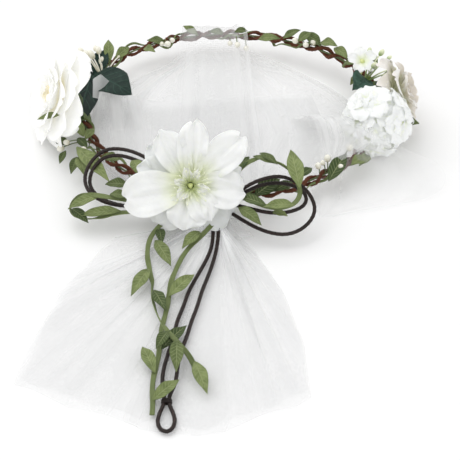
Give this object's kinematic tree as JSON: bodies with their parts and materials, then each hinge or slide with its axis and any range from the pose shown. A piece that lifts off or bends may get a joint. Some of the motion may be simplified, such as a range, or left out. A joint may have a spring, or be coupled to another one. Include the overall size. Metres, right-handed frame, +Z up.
{
  "type": "flower crown",
  "caption": "Oval twisted-vine hair crown with fabric flowers, leaves and berries, tied with a looped cord and leaf-ribbon bow over a gathered tulle veil.",
  "frame": {"origin": "middle of the head opening, on the surface that the crown lies on", "axes": "+Z up, out of the head opening; +X to the wearer's side where the hydrangea is; -Y towards the back of the head, where the bow, tails and veil are"},
  "size_m": [0.2639, 0.3884, 0.064],
  "materials": {
    "wire": "blackened florist's wire",
    "rattan": "stained twisted rattan",
    "floral_tape": "waxed floral tape",
    "white_petal": "moulded silk petal",
    "cream_petal": "moulded silk petal",
    "yellow_green_centre": "flocked",
    "stamen": "fine filament",
    "leaf_green": "printed leaf fabric",
    "leaf_dark": "dark printed leaf fabric",
    "leaf_ribbon": "woven satin leaf ribbon",
    "berry": "pearl",
    "waxed_cord": "waxed cord",
    "tulle": "fine net"
  },
  "bodies": {
    "root": {"berries": "berry", "berry_stems": "wire", "blossom_centre": "yellow_green_centre", "blossom_petals": "white_petal", "bow_knot": "waxed_cord", "bow_left_inner": "waxed_cord", "bow_left_outer": "waxed_cord", "bow_right_inner": "waxed_cord", "bow_right_outer": "waxed_cord", "bud_sprig_left": "leaf_green", "bud_sprig_right": "leaf_green", "core_wire": "wire", "dark_leaves": "leaf_dark", "floral_tape_wraps": "floral_tape", "green_leaves_right": "leaf_green", "hydrangea_centres": "yellow_green_centre", "hydrangea_florets": "white_petal", "hydrangea_stems": "leaf_green", "leaf_loop_left": "leaf_ribbon", "leaf_loop_left_leaves": "leaf_ribbon", "leaf_loop_right": "leaf_ribbon", "leaf_loop_right_leaves": "leaf_ribbon", "magnolia_backing": "floral_tape", "magnolia_centre": "yellow_green_centre", "magnolia_inner_petals": "white_petal", "magnolia_outer_petals": "white_petal", "magnolia_stamens": "stamen", "peony_calyx": "leaf_green", "peony_centre": "yellow_green_centre", "peony_inner_petals": "cream_petal", "peony_middle_petals": "cream_petal", "peony_outer_petals": "cream_petal", "ring_leaf_ribbon": "leaf_ribbon", "ring_leaves": "leaf_ribbon", "rose_bud": "cream_petal", "rose_inner_petals": "cream_petal", "rose_outer_petals": "cream_petal", "rose_sepals": "leaf_green", "teal_leaf": "leaf_dark", "veil_bridge": "tulle", "veil_gather": "tulle", "veil_inner_panel": "tulle", "veil_side_panel": "tulle", "vine_strand_a": "rattan", "vine_strand_b": "rattan"},
    "tails": {"cord_tail": "waxed_cord", "tail_knot": "waxed_cord", "leaf_tail_left": "leaf_ribbon", "leaf_tail_left_leaves": "leaf_ribbon", "leaf_tail_right": "leaf_ribbon", "leaf_tail_right_leaves": "leaf_ribbon"},
    "veil_skirt": {"veil_skirt": "tulle"}
  },
  "joints": [
    {"name": "tails_swing", "type": "hinge", "parent": "root", "child": "tails", "pos_m": [-0.009, -0.097, 0.008], "axis": [0, 0, 1], "range_deg": [-8, 2]},
    {"name": "veil_swing", "type": "hinge", "parent": "root", "child": "veil_skirt", "pos_m": [-0.009, -0.1, 0.001], "axis": [0, 0, 1], "range_deg": [-6, 6]}
  ]
}
